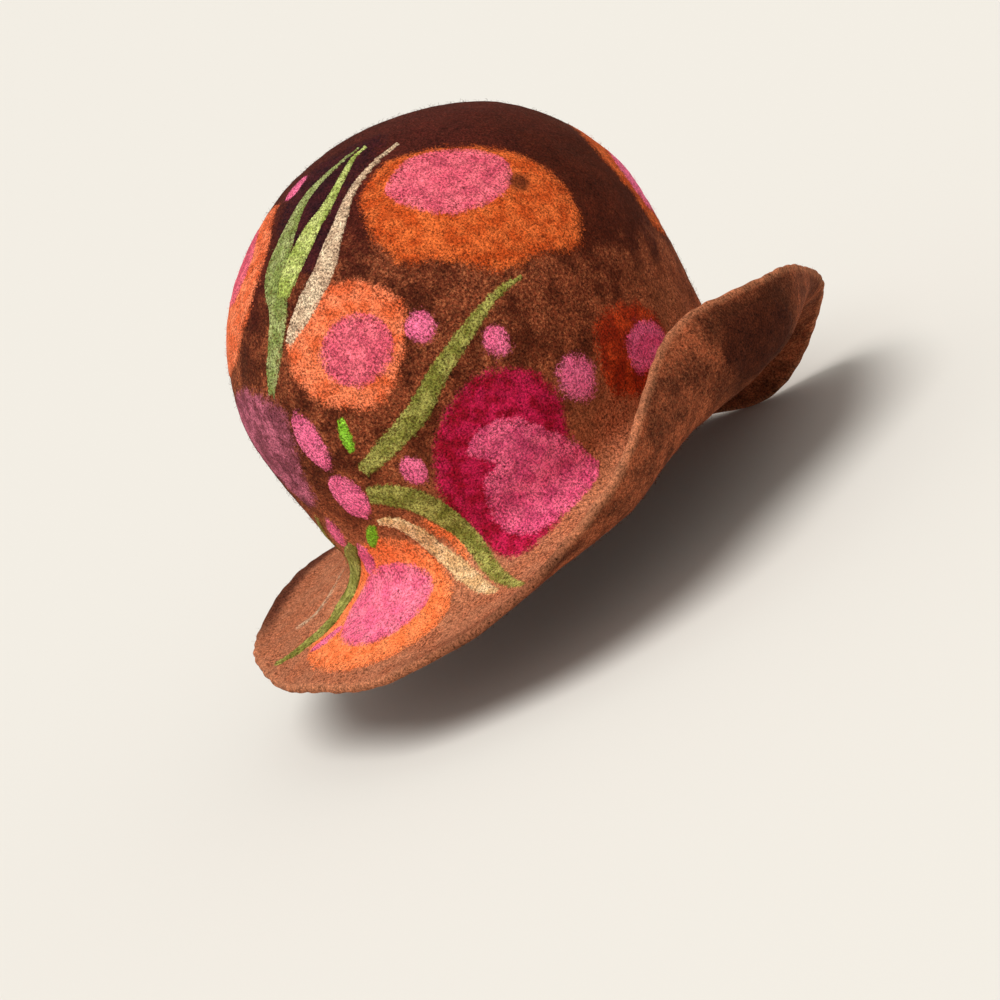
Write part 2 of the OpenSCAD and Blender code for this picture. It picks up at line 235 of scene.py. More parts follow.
def profile(heading, drop):
    """Reach from the hat's axis and height of the smooth outer face."""
    reach = opening_reach(heading)
    tilt = np.pi / 2 * (1 - drop / DOME_RUN)
    dome = reach * SWELL * np.cos(tilt), WIDEST_HEIGHT + DOME_HEIGHT * np.sin(tilt)
    tilt = WALL_TURN * (drop - DOME_RUN) / WALL_RUN
    wall = reach * SWELL * np.cos(tilt), WIDEST_HEIGHT - WALL_DEPTH * np.sin(tilt)
    _, root_slope, edge_slope = brim_at(heading)
    lean = -np.arctan2(reach * SWELL * math.sin(WALL_TURN), WALL_DEPTH * math.cos(WALL_TURN))
    in_root = np.clip(drop - ROOT_DROP, 0, ROOT_LENGTH)
    reached = lean + (root_slope - lean) * in_root / ROOT_LENGTH
    root = along_arc(reach, 0, in_root, lean, reached)
    beyond = np.maximum(drop - ROOT_END, 0)
    share = beyond / (brim_width(heading) - ROOT_LENGTH)
    brim = along_arc(*root, beyond, root_slope, root_slope + (edge_slope - root_slope) * share)
    return tuple(
        np.where(drop <= DOME_RUN, d, np.where(drop <= ROOT_DROP, w, b))
        for d, w, b in zip(dome, wall, brim)
    )


def smooth_face(heading, drop):
    """Points of the smooth outer face."""
    reach, height = profile(heading, drop)
    a = np.radians(heading)
    back = SET_BACK * np.clip(height / WIDEST_HEIGHT, 0, 1) ** SET_BACK_POWER
    return np.stack([-reach * np.sin(a), back - reach * np.cos(a), height], -1)


def smooth_normal(heading, drop):
    """Direction straight out of the smooth outer face."""
    drop = np.maximum(drop, TOP_DROP)
    down = smooth_face(heading, drop + DOWN_STEP) - smooth_face(heading, drop - DOWN_STEP)
    around = smooth_face(heading + AROUND_STEP, drop) - smooth_face(heading - AROUND_STEP, drop)
    out = np.cross(around, down)
    return out / np.linalg.norm(out, axis=-1, keepdims=True)


def lumps(points, size, seed):
    """Smooth unevenness at each point, mostly within ±1, in lumps about size mm across."""
    draw = np.random.default_rng(seed)
    directions = draw.normal(size=(3, WAVES))
    directions /= np.linalg.norm(directions, axis=0)
    phases = draw.uniform(0, 2 * np.pi, WAVES)
    return np.sin(points @ directions * (np.pi / size) + phases).sum(-1) / math.sqrt(WAVES)


def felt_points(heading, drop, lift=0.0):
    """Points of the handmade felt at a lift above its outer face, and the way out of it."""
    heading, drop = np.broadcast_arrays(heading, drop)
    face = smooth_face(heading, drop)
    out = smooth_normal(heading, drop)
    uneven = sum(high * lumps(face, wide, seed) for seed, (high, wide) in enumerate(LUMPS, 1))
    lift = np.broadcast_to(lift, heading.shape)
    return face + out * (uneven + lift)[..., None], out


def smoothstep(value, low, high):
    """Smooth rise from 0 at low to 1 at high, or fall where low is the greater."""
    t = np.clip((value - low) / (high - low), 0, 1)
    return t * t * (3 - 2 * t)


def window(value, opening, opened, closing, closed):
    """1 between opened and closing, falling smoothly to 0 at opening and closed."""
    return smoothstep(value, opening, opened) * smoothstep(value, closed, closing)


# ---- meshes ----


def make_piece(name, points, faces, material, values=None):
    """A smooth mesh object from points in mm, with named values at its points."""
    mesh = bpy.data.meshes.new(name)
    mesh.from_pydata((np.asarray(points) * MM).tolist(), [], faces)
    mesh.polygons.foreach_set("use_smooth", [True] * len(mesh.polygons))
    for key, value in (values or {}).items():
        attribute = mesh.attributes.new(key, "FLOAT", "POINT")
        attribute.data.foreach_set("value", value.astype(np.float32))
    mesh.materials.append(material)
    mesh.update()
    piece = bpy.data.objects.new(name, mesh)
    bpy.context.scene.collection.objects.link(piece)
    return piece


def band_quads(rows, columns):
    """Quads between neighbouring points of rows that go round the hat."""
    index = np.arange(rows * columns).reshape(rows, columns)
    beside = np.roll(index, -1, axis=1)
    return np.stack([index[:-1], index[1:], beside[1:], beside[:-1]], -1).reshape(-1, 4)


# ---- the fine grid of the outer face ----

headings = np.arange(COLUMNS) * 360 / COLUMNS
ragged = lumps(smooth_face(headings, ROOT_DROP + brim_width(headings)), NOTCH, 4)
widths = brim_width(headings) + RAGGED * ragged
crown_drops = np.linspace(0, ROOT_END, CROWN_ROWS + 1)[1:]
brim_shares = np.linspace(0, 1, BRIM_ROWS + 1)[1:]
drops = np.vstack(
    [
        np.repeat(crown_drops[:, None], COLUMNS, axis=1),
        ROOT_END + brim_shares[:, None] * (widths - ROOT_LENGTH),
    ]
)
outer, outward = felt_points(headings[None, :], drops)


# ---- the free edge and the inner face, on the body's columns ----

body_columns = slice(None, None, BODY_STEP)
edge_turn = np.radians(np.linspace(0, 180, EDGE_ROWS + 2)[1:-1])[:, None]
edge_headings = headings[None, body_columns]
edge_drop = ROOT_DROP + widths[None, body_columns]
edge, _ = felt_points(
    edge_headings,
    edge_drop + EDGE_BULGE * np.sin(edge_turn),
    -FELT / 2 + FELT / 2 * np.cos(edge_turn),
)
inner_shares = np.linspace(1, 0, BRIM_INNER_ROWS + 1)[:-1, None]
crown_inner_drops = np.linspace(ROOT_END, INNER_TOP, INNER_ROWS - BRIM_INNER_ROWS)[:, None]
inner_drops = np.vstack(
    [
        ROOT_END + inner_shares * (widths[None, body_columns] - ROOT_LENGTH),
        np.repeat(crown_inner_drops, COLUMNS // BODY_STEP, axis=1),
    ]
)
inner_high, inner_wide = INNER_LUMPS
inner_lift = inner_high * lumps(smooth_face(edge_headings, inner_drops), inner_wide, 5) - FELT
inner, inward_side = felt_points(edge_headings, inner_drops, inner_lift)

# The body's points row by row, from the crown's top out to the edge and back up inside
outer_rows = slice(1, None, BODY_STEP)
body_rows = np.vstack([outer[outer_rows, body_columns], edge, inner])
body_out = np.vstack(
    [
        outward[outer_rows, body_columns],
        np.repeat(outward[-1:, body_columns], EDGE_ROWS, axis=0),
        -inward_side,
    ]
)
body_headings = np.broadcast_to(edge_headings, body_rows.shape[:2])
body_drops = np.vstack(
    [drops[outer_rows, body_columns], np.repeat(edge_drop, EDGE_ROWS, axis=0), inner_drops]
)
outer_count = len(body_rows) - EDGE_ROWS - len(inner)
tops, _ = felt_points(np.zeros(2), np.zeros(2), np.array([0, -FELT]))


# ---- outlines of the inlays, from the CAD shapes ----

# CAD nodes, the slot each one wears and the dye it is coloured with, in the order the
# colours are laid
INLAYS = {
    "mauve_patch": ("mauve_prefelt", "mauve"),
    "dark_crown_patch": ("dark_prefelt", "dark"),
    "dark_brim_patch": ("dark_prefelt", "umber"),
    "crown_flower_petals": ("orange_prefelt", "orange"),
    "back_flower_petals": ("orange_prefelt", "coral"),
    "nape_flower_petals": ("orange_prefelt", "coral"),
    "brow_flower_petals": ("orange_prefelt", "ember"),
    "front_flower_petals": ("orange_prefelt", "orange"),
    "left_flower_petals": ("orange_prefelt", "orange"),
    "brim_flower_petals": ("orange_prefelt", "bright_orange"),
    "orange_fleck": ("orange_prefelt", "bright_orange"),
    "tulip_cup": ("crimson_prefelt", "crimson"),
    "brow_flower_heart": ("magenta_prefelt", "magenta"),
    "crown_flower_heart": ("pink_prefelt", "rose"),
    "back_flower_heart": ("pink_prefelt", "rose"),
    "nape_flower_heart": ("pink_prefelt", "rose"),
    "front_flower_heart": ("pink_prefelt", "pink"),
    "left_flower_heart": ("pink_prefelt", "pink"),
    "brim_flower_heart": ("pink_prefelt", "hot_pink"),
    "tulip_petal": ("pink_prefelt", "dusty_pink"),
    "pink_dots": ("pink_prefelt", "pink"),
    "pink_streaks": ("pink_prefelt", "pink"),
    "cream_blades": ("cream_prefelt", "cream"),
    "arched_blade": ("cream_prefelt", "straw"),
    "long_leaf": ("green_prefelt", "green"),
    "left_leaf": ("green_prefelt", "green"),
    "grass_blade": ("green_prefelt", "grass"),
    "lime_blade": ("green_prefelt", "lime"),
    "arched_leaf": ("green_prefelt", "green"),
    "brim_blades": ("green_prefelt", "green"),
    "green_buds": ("bright_green_prefelt", "bright_green"),
}
DYE_ORDER = list(dict.fromkeys(dye for _, dye in INLAYS.values()))
# A ray that looks for a CAD shape over the felt starts this far inside it, and is this long.
RAY_DEPTH = 2.5
RAY = 9
# The lowest CAD shapes stand this high over the felt, and each further layer this much more.
SHEET_HEIGHT = 0.4
SHEET_STEP = 0.9
# A CAD face is a side wall where its normal lies along the felt's way out less than this.
WALL_LEAN = 0.6

face_tree = KDTree(outer_count * body_rows.shape[1] + inner.shape[0] * inner.shape[1])
face_out = []
for rows in (slice(0, outer_count), slice(outer_count + EDGE_ROWS, None)):
    for point, out in zip(body_rows[rows].reshape(-1, 3), body_out[rows].reshape(-1, 3)):
        face_tree.insert(point, len(face_out))
        face_out.append(out)
face_tree.balance()


def outline_of(node):
    """The whole CAD shape and its side walls, as two trees, and its box, in mm."""
    mesh = nodes[node].data
    corners = [v.co / MM for v in mesh.vertices]
    whole = [tuple(p.vertices) for p in mesh.polygons]
    walls = []
    for p in mesh.polygons:
        out = face_out[face_tree.find(p.center / MM)[1]]
        if abs(p.normal.dot(Vector(out))) < WALL_LEAN:
            walls.append(tuple(p.vertices))
    low, high = (np.array(corner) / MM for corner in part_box(node))
    return BVHTree.FromPolygons(corners, whole), BVHTree.FromPolygons(corners, walls), low, high


def distances(trees, points, out):
    """Distance in mm from each point to a CAD shape's outline, positive inside it, and
    the CAD shape's usual height over the felt."""
    whole, walls, low, high = trees
    field = np.full(len(points), -float(FAR))
    heights = []
    near = np.flatnonzero(((points > low - FAR) & (points < high + FAR)).all(axis=1))
    for i in near:
        point = Vector(points[i])
        up = Vector(out[i])
        found = walls.find_nearest(point, FAR)[3]
        over = whole.ray_cast(point - up * RAY_DEPTH, up, RAY)[3]
        across = FAR if found is None else math.sqrt(max(found**2 - SHEET_HEIGHT**2, 0))
        field[i] = -across if over is None else across
        if over is not None:
            heights.append(over - RAY_DEPTH)
    return field, float(np.median(heights)) if heights else 0.0


flat_outer = outer.reshape(-1, 3)
flat_outward = outward.reshape(-1, 3)
flat_body = body_rows.reshape(-1, 3)
flat_body_out = body_out.reshape(-1, 3)
outer_fields = {}
body_fields = {}
layers = {}
for node in INLAYS:
    trees = outline_of(node)
    outer_fields[node], height = distances(trees, flat_outer, flat_outward)
    body_fields[node], body_height = distances(trees, flat_body, flat_body_out)
    layers[node] = round((max(height, body_height) - SHEET_HEIGHT) / SHEET_STEP)


def merged(fields, dye):
    """Distance to the nearest outline among the shapes of one dye."""
    return np.max([fields[node] for node, (_, worn) in INLAYS.items() if worn == dye], axis=0)


# Where the felt's colour changes with its place. A window is where it opens, is open,
# starts to close and is closed, here in headings.
ROLLED_WINDOW = (50, 62, 76, 90)
ROLLED_DROPS = (236, 262)
ROLLED_GAP = 6
# Headings of the painted shade along the free edge, its share at the right back, and the gaps to
# the edge over which it fades in
EDGE_SHADE_LEFT = (216, 232, 262, 282)
EDGE_SHADE_RIGHT = (122, 134, 150, 172)
EDGE_SHADE_RIGHT_SHARE = 0.55
EDGE_SHADE_GAPS = (11, 4)
# Drop at which the smooth ground ends, and how much lower it ends about a front heading
SMOOTH_END = 72
SMOOTH_LOWER = 78
SMOOTH_HEADING = 40
SMOOTH_SPREAD = (68, 30)
BARE_HEADING = 79
BARE_DROP = 97
BARE_RADII = (7, 3)
# The gap to the free edge doesn't matter beyond this.
GAP_LIMIT = 99


def felt_values(heading, drop, width, fields, under):
    """Named values at the felt's points that its colours follow."""
    heading, drop, width, under = (
        np.broadcast_to(x, drop.shape).ravel() for x in (heading, drop, width, under)
    )
    edge_gap = np.clip(ROOT_DROP + width - drop, 0, GAP_LIMIT)
    # The underside is darkest where the brim is rolled up past the front right.
    rolled = window(heading, *ROLLED_WINDOW) * smoothstep(drop, *ROLLED_DROPS)
    # The ground is smooth and dark high on the crown, and further down at the front right.
    from_front_right = np.abs((heading - SMOOTH_HEADING + 180) % 360 - 180)
    smooth_end = SMOOTH_END + SMOOTH_LOWER * smoothstep(from_front_right, *SMOOTH_SPREAD)
    # Painted shade darkens the free edge at the left back, and a little at the right back.
    edge_shade = window(heading, *EDGE_SHADE_LEFT) + EDGE_SHADE_RIGHT_SHARE * window(heading, *EDGE_SHADE_RIGHT)
    # A bare spot in the crown flower
    across = (heading - BARE_HEADING) * np.radians(1) * profile(heading, drop)[0]
    off_bare = np.hypot(across, drop - BARE_DROP)
    values = {
        "drop": drop,
        "edge_gap": edge_gap,
        "under": under.astype(float),
        "rolled": rolled * under * smoothstep(edge_gap, 0, ROLLED_GAP),
        "edge_shade": edge_shade * smoothstep(edge_gap, *EDGE_SHADE_GAPS),
        "smooth_end": smooth_end,
        "bare": smoothstep(off_bare, *BARE_RADII) * (under == 0),
    }
    for dye in DYE_ORDER:
        values[dye] = merged(fields, dye)
    return values


outer_values = felt_values(
    headings[None, :], drops, widths[None, :], outer_fields, np.zeros((1, 1))
)
under_share = np.zeros((len(body_rows), 1))
under_share[outer_count : outer_count + EDGE_ROWS] = np.linspace(0.1, 0.9, EDGE_ROWS)[:, None]
under_share[outer_count + EDGE_ROWS :] = 1
body_values = felt_values(
    body_headings, body_drops, widths[None, body_columns], body_fields, under_share
)


# ---- shader building ----


def tint(code):
    """Linear opaque colour of a hex sRGB code."""
    parts = (int(code[i : i + 2], 16) / 255 for i in (1, 3, 5))
    return (*(p / 12.92 if p <= 0.04045 else ((p + 0.055) / 1.055) ** 2.4 for p in parts), 1.0)


def feed(tree, socket, value):
    """Link a socket to the value, or set it."""
    if isinstance(value, bpy.types.NodeSocket):
        tree.links.new(value, socket)
    else:
        socket.default_value = value


def maths(tree, operation, *values):
    """Result of a maths operation on numbers or sockets."""
    node = tree.nodes.new("ShaderNodeMath")
    node.operation = operation
    for socket, value in zip(node.inputs, values):
        feed(tree, socket, value)
    return node.outputs[0]


def ramp(tree, value, low, high, bottom=0.0, top=1.0):
    """Value between low and high as a smooth rise from bottom to top."""
    node = tree.nodes.new("ShaderNodeMapRange")
    node.interpolation_type = "SMOOTHSTEP"
    names = ("Value", "From Min", "From Max", "To Min", "To Max")
    for name, given in zip(names, (value, low, high, bottom, top)):
        feed(tree, node.inputs[name], given)
    return node.outputs["Result"]


def mix(tree, factor, a, b, kind="MIX"):
    """Colour a with colour b laid over it by the factor."""
    node = tree.nodes.new("ShaderNodeMix")
    node.data_type = "RGBA"
    node.blend_type = kind
    colours = [s for s in node.inputs if s.type == "RGBA"]
    feed(tree, node.inputs[0], factor)
    feed(tree, colours[0], a)
    feed(tree, colours[1], b)
    return next(s for s in node.outputs if s.type == "RGBA")


def named(tree, name):
    """A value that the mesh carries at its points."""
    node = tree.nodes.new("ShaderNodeAttribute")
    node.attribute_name = name
    return node.outputs["Fac"]


# Metres by which each further seed moves a noise
SEED_SHIFT = (0.37, 0.61, 0.83)


def noise(tree, size, seed, detail=2.0, roughness=0.5, distortion=0.0):
    """Noise whose lumps are about size mm across, different for each seed."""
    place = tree.nodes.new("ShaderNodeTexCoord").outputs["Object"]
    shift = tree.nodes.new("ShaderNodeVectorMath")
    feed(tree, shift.inputs[0], place)
    feed(tree, shift.inputs[1], tuple(seed * part for part in SEED_SHIFT))
    node = tree.nodes.new("ShaderNodeTexNoise")
    feed(tree, node.inputs["Vector"], shift.outputs[0])
    for name, value in (
        ("Scale", 1 / (size * MM)),
        ("Detail", detail),
        ("Roughness", roughness),
        ("Distortion", distortion),
    ):
        node.inputs[name].default_value = value
    return node.outputs["Fac"]


def centred(tree, value):
    """A noise from 0 to 1 moved to run from -0.5 to 0.5."""
    return maths(tree, "SUBTRACT", value, 0.5)


def strands(tree, size, seed, thinness):
    """Thin wandering lines, as of single fibres lying on the felt."""
    wandering = noise(tree, size, seed, detail=1.0, distortion=1.2)
    ridge = maths(tree, "ABSOLUTE", centred(tree, wandering))
    return ramp(tree, ridge, thinness, 0.0)


# ---- felt ----

# For each dye: colour, second colour of its mottling, how far fibres stray over its edge
# in mm, how far its edge wanders in mm, how much brown shows through, and how strong the
# darker ring inside its outline is
DYES = {
    "mauve": ("#c4687c", "#84424e", 16, 9, 0.5, 0),
    "dark": ("#2c1218", "#40181c", 16, 9, 0.2, 0),
    "umber": ("#3c180c", "#4c2212", 24, 20, 0.4, 0),
    "orange": ("#dc6830", "#c04c1c", 15, 7, 0.5, 0),
    "coral": ("#f88458", "#e06438", 14, 7, 0.42, 0),
    "bright_orange": ("#ff8c54", "#fa7a42", 11, 5, 0.18, 0),
    "ember": ("#c8441c", "#982810", 17, 8, 0.5, 0),
    "crimson": ("#c6204e", "#9a0e28", 13, 7, 0.3, 0),
    "magenta": ("#ff709c", "#f05884", 14, 6, 0.26, 0),
    "rose": ("#f4707e", "#dc586c", 13, 6, 0.42, 0.3),
    "pink": ("#fc789e", "#ee6890", 13, 6, 0.34, 0),
    "hot_pink": ("#ff8098", "#f4688a", 12, 6, 0.3, 0),
    "dusty_pink": ("#ff7094", "#dc4e78", 13, 6, 0.36, 0.3),
    "cream": ("#e8cca8", "#c8a888", 12, 4, 0.45, 0),
    "straw": ("#f8d09c", "#e0b078", 10, 4, 0.3, 0),
    "green": ("#aca856", "#7e7e34", 10, 3, 0.45, 0),
    "grass": ("#a8b070", "#7c8a46", 12, 3, 0.45, 0),
    "lime": ("#c4cc78", "#9cac50", 11, 3, 0.4, 0),
    "bright_green": ("#94d03c", "#74b020", 6, 3, 0.3, 0),
}
# How far inside an outline its darker ring lies, and half the ring's width, in mm
RING_INSET = 9.5
RING_SPREAD = 3.5
# Depths inside an outline, as shares of the dye's stray, between which it comes to cover
COVER_RISE = (-0.08, 0.2)
# Colour of the undyed ground by drop in mm
GROUND = (
    (0, "#481c18"),
    (60, "#471812"),
    (100, "#3c1208"),
    (160, "#48180a"),
    (180, "#7a3c22"),
    (204, "#b46c46"),
    (226, "#dc9068"),
    (264, "#c07a58"),
)
GROUND_END = 300
# How far, in mm of drop, the ground's colours wander in broad and in small patches
BROAD_SWAY = 60
PATCHY_SWAY = 45
# Drops past the end of the smooth ground between which its coarse look sets in
COARSE_ONSET = (-4, 30)
# Colours of the coarse ground and the fibres in it, of the underside, of the painted highlight and
# the painted shade on the free edge, and of the bare spot, the brown specks in the dyed shapes and
# the sheen of the undyed felt
COARSE_GROUND = "#94482c"
PALE_FIBRES = ("#b05830", "#c07c52")
DARK_FIBRES = "#30100a"
UNDERSIDE = ("#5c2816", "#9a4e30")
UNDERSIDE_PALE = "#b06c48"
UNDERSIDE_DARK = "#301208"
UNDERSIDE_ROLLED = "#3c1a0c"
EDGE_HIGHLIGHT_COLOUR = "#c07e5a"
EDGE_SHADE_COLOUR = "#3c140c"
BARE_COLOUR = "#5a2814"
SPECKS = ("#7a3a20", "#451a0e")
FELT_SHEEN = "#b0704c"


def colour_ramp(tree, value, stops):
    """Colour read from stops of a place from 0 to 1 and a colour code."""
    node = tree.nodes.new("ShaderNodeValToRGB")
    feed(tree, node.inputs[0], value)
    marks = node.color_ramp.elements
    while len(marks) < len(stops):
        marks.new(1.0)
    for mark, (place, code) in zip(marks, stops):
        mark.position = place
        mark.color = tint(code)
    return node.outputs["Color"]


def ground_colours(tree):
    """The undecorated felt: maroon at the top, brown, then tan towards the free edge."""
    broad = noise(tree, 40, 1, 3.0)
    patchy = noise(tree, 13, 2, 4.0, 0.6)
    sway = maths(tree, "MULTIPLY_ADD", centred(tree, broad), BROAD_SWAY, named(tree, "drop"))
    sway = maths(tree, "MULTIPLY_ADD", centred(tree, patchy), PATCHY_SWAY, sway)
    stops = [(drop / GROUND_END, code) for drop, code in GROUND]
    colour = colour_ramp(tree, maths(tree, "DIVIDE", sway, GROUND_END), stops)
    # Pale and dark fibres are worked through the ground below its smooth part.
    coarse = ramp(tree, maths(tree, "SUBTRACT", sway, named(tree, "smooth_end")), *COARSE_ONSET)
    coarse = maths(tree, "MULTIPLY", coarse, ramp(tree, patchy, 0.38, 0.6, 0.25, 1.0))
    colour = mix(tree, maths(tree, "MULTIPLY", coarse, 0.5), colour, tint(COARSE_GROUND))
    pale = ramp(tree, noise(tree, 1.3, 3, 3.0, 0.75), 0.44, 0.66)
    pale_share = maths(tree, "MULTIPLY", pale, maths(tree, "MULTIPLY_ADD", coarse, 0.6, 0.04))
    colour = mix(tree, pale_share, colour, mix(tree, broad, *map(tint, PALE_FIBRES)))
    dark = ramp(tree, noise(tree, 1.4, 4, 3.0, 0.75), 0.48, 0.64)
    dark_share = maths(tree, "MULTIPLY", dark, maths(tree, "MULTIPLY_ADD", coarse, 0.55, 0.2))
    colour = mix(tree, dark_share, colour, tint(DARK_FIBRES))
    # The underside
    below = mix(tree, ramp(tree, patchy, 0.3, 0.7), *map(tint, UNDERSIDE))
    below = mix(tree, maths(tree, "MULTIPLY", pale, 0.45), below, tint(UNDERSIDE_PALE))
    below = mix(tree, maths(tree, "MULTIPLY", dark, 0.5), below, tint(UNDERSIDE_DARK))
    rolled = maths(tree, "MULTIPLY", named(tree, "rolled"), 0.85)
    below = mix(tree, rolled, below, tint(UNDERSIDE_ROLLED))
    colour = mix(tree, named(tree, "under"), colour, below)
    # A painted highlight lightens the last few mm of the free edge, and painted shade darkens it
    # at the left and right back.
    rim = ramp(tree, named(tree, "edge_gap"), 3.0, 0.0, 0.0, 0.4)
    colour = mix(tree, rim, colour, tint(EDGE_HIGHLIGHT_COLOUR))
    edge_shade = maths(tree, "MULTIPLY", named(tree, "edge_shade"), 0.85)
    colour = mix(tree, edge_shade, colour, tint(EDGE_SHADE_COLOUR))
    return mix(tree, 1.0, colour, ramp(tree, patchy, 0.3, 0.7, 0.84, 1.18), "MULTIPLY")


def darkened(code, share):
    """Linear colour of a hex sRGB code at a share of its brightness."""
    red, green, blue, alpha = tint(code)
    return red * share, green * share, blue * share, alpha


def laid_dye(tree, colour, dye, noises):
    """The colour with one dye's shapes laid over it, frayed, mottled and flecked with brown."""
    light, deep, stray, wandering, veil, ring_strength = DYES[dye]
    wander, fray, mottle, brown, specks = noises
    inside = maths(tree, "MULTIPLY_ADD", wander, wandering, named(tree, dye))
    reach = maths(tree, "MULTIPLY_ADD", fray, stray, inside)
    cover = ramp(tree, reach, *(share * stray for share in COVER_RISE))
    shade = mix(tree, mottle, tint(light), tint(deep))
    veiled = ramp(tree, reach, stray * 0.8, 0.0, veil, 0.9)
    speck = mix(tree, 0.5, brown, darkened(deep, 0.3))
    shade = mix(tree, maths(tree, "MULTIPLY", specks, veiled), shade, speck)
    if ring_strength:
        off_ring = maths(tree, "ABSOLUTE", maths(tree, "SUBTRACT", inside, RING_INSET))
        ring = ramp(tree, off_ring, RING_SPREAD, 0.0, 0.0, ring_strength)
        shade = mix(tree, ring, shade, darkened(deep, 0.45))
    return mix(tree, cover, colour, shade)


def felt_group():
    """Colour, roughness and height of the felt at every point, shared by all its pieces."""
    tree = bpy.data.node_groups.new("felt", "ShaderNodeTree")
    outputs = {
        "Color": "NodeSocketColor",
        "Roughness": "NodeSocketFloat",
        "Height": "NodeSocketFloat",
    }
    for name, kind in outputs.items():
        tree.interface.new_socket(name, in_out="OUTPUT", socket_type=kind)
    end = tree.nodes.new("NodeGroupOutput")
    wander = centred(tree, noise(tree, 6.0, 11, 3.0, 0.6))
    fray = centred(tree, noise(tree, 1.0, 12, 3.0, 0.75, 0.8))
    mottle = ramp(tree, noise(tree, 7.0, 13, 3.0), 0.36, 0.64)
    specks = ramp(tree, noise(tree, 1.0, 14, 3.0, 0.7, 0.5), 0.49, 0.60)
    brown = mix(tree, noise(tree, 3.0, 15), *map(tint, SPECKS))
    colour = ground_colours(tree)
    noises = (wander, fray, mottle, brown, specks)
    for dye in DYE_ORDER:
        colour = laid_dye(tree, colour, dye, noises)
    bare = maths(tree, "MULTIPLY", named(tree, "bare"), 0.85)
    colour = mix(tree, bare, colour, tint(BARE_COLOUR))
    # Single fibres and small clumps catch the light or lie in shade.
    grain = noise(tree, 0.9, 16, 3.0, 0.8)
    clumps = noise(tree, 2.6, 17, 3.0, 0.6)
    light_strands = strands(tree, 3.4, 18, 0.014)
    dark_strands = strands(tree, 2.8, 19, 0.016)
    value = ramp(tree, grain, 0.3, 0.7, 0.3, 1.7)
    value = maths(tree, "ADD", value, ramp(tree, clumps, 0.3, 0.7, -0.18, 0.18))
    value = maths(tree, "MULTIPLY_ADD", light_strands, 0.35, value)
    value = maths(tree, "MULTIPLY_ADD", dark_strands, -0.35, value)
    colour = mix(tree, 1.0, colour, value, "MULTIPLY")
    height = maths(tree, "MULTIPLY_ADD", grain, 0.45, maths(tree, "MULTIPLY", clumps, 0.8))
    height = maths(tree, "MULTIPLY_ADD", light_strands, 0.22, height)
    tree.links.new(colour, end.inputs["Color"])
    tree.links.new(ramp(tree, grain, 0.2, 0.8, 0.97, 0.82), end.inputs["Roughness"])
    tree.links.new(height, end.inputs["Height"])
    return tree


def new_material(name):
    """A new material with its node tree and its shader."""
    material = bpy.data.materials.new(name)
    material.use_nodes = True
    shader = material.node_tree.nodes["Principled BSDF"]
    return material, material.node_tree, shader


def felt_material(name, group, sheen_colour):
    """Felt of one slot: the shared felt group with that slot's own sheen."""
    material, tree, shader = new_material(name)
    felt = tree.nodes.new("ShaderNodeGroup")
    felt.node_tree = group
    bump = tree.nodes.new("ShaderNodeBump")
    bump.inputs["Strength"].default_value = 0.9
    bump.inputs["Distance"].default_value = 0.7 * MM
    tree.links.new(felt.outputs["Height"], bump.inputs["Height"])
    tree.links.new(felt.outputs["Color"], shader.inputs["Base Color"])
    tree.links.new(felt.outputs["Roughness"], shader.inputs["Roughness"])
    tree.links.new(bump.outputs["Normal"], shader.inputs["Normal"])
    shader.inputs["Specular IOR Level"].default_value = 0.06
    shader.inputs["Sheen Weight"].default_value = 0.1
    shader.inputs["Sheen Roughness"].default_value = 0.45
    shader.inputs["Sheen Tint"].default_value = tint(sheen_colour)
    return material


group = felt_group()
felts = {slot: felt_material(slot, group, DYES[dye][0]) for slot, dye in INLAYS.values()}
felts["brown_felt"] = felt_material("brown_felt", group, FELT_SHEEN)


# ---- felt body ----


def build_body():
    """The felt hat itself as one closed shell."""
    rows, columns = body_rows.shape[:2]
    quads = band_quads(rows, columns)
    first, last = rows * columns, rows * columns + 1
    ring = np.arange(columns)
    beside = np.roll(ring, -1)
    end = (rows - 1) * columns
    faces = quads.tolist()
    faces += np.stack([np.full(columns, first), ring, beside], -1).tolist()
    faces += np.stack([np.full(columns, last), end + beside, end + ring], -1).tolist()
    points = np.vstack([flat_body, tops])
    # The two closing points take the values of the rows next to them.
    ends = [0, end]
    values = {key: np.concatenate([v, v[ends]]) for key, v in body_values.items()}
    piece = make_piece("felt_shell", points, faces, felts["brown_felt"], values)
    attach(piece, "root")
    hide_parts("felt_body")
    return piece


# ---- inlays ----


def build_inlay(node, fields, points, out, rows, columns, values):
    """A thin closed piece of felt over a CAD shape's outline. Its rim is sunk in the body."""
    field = fields[node]
    quads = band_quads(rows, columns)
    kept = quads[(field[quads] > -MARGIN).all(axis=1)]
    used, compact = np.unique(kept, return_inverse=True)
    kept = compact.reshape(-1, 4)
    count = len(used)
    step = RISE + LAYER_RISE * layers[node]
    rise = -SINK + (SINK + step) * smoothstep(field[used], *RIM_RISE)
    top = points[used] + out[used] * rise[:, None]
    bottom = points[used] - out[used] * BED
    starts = kept.ravel()
    ends = np.roll(kept, -1, axis=1).ravel()
    both = set(zip(starts.tolist(), ends.tolist()))
    rim = [(a, b) for a, b in both if (b, a) not in both]
    faces = kept.tolist() + (kept[:, ::-1] + count).tolist()
    faces += sorted([b, a, a + count, b + count] for a, b in rim)
    doubled = {key: np.concatenate([v[used], v[used]]) for key, v in values.items()}
    slot = INLAYS[node][0]
    piece = make_piece(node + "_felted", np.vstack([top, bottom]), faces, felts[slot], doubled)
    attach(piece, "root")
    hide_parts(node)


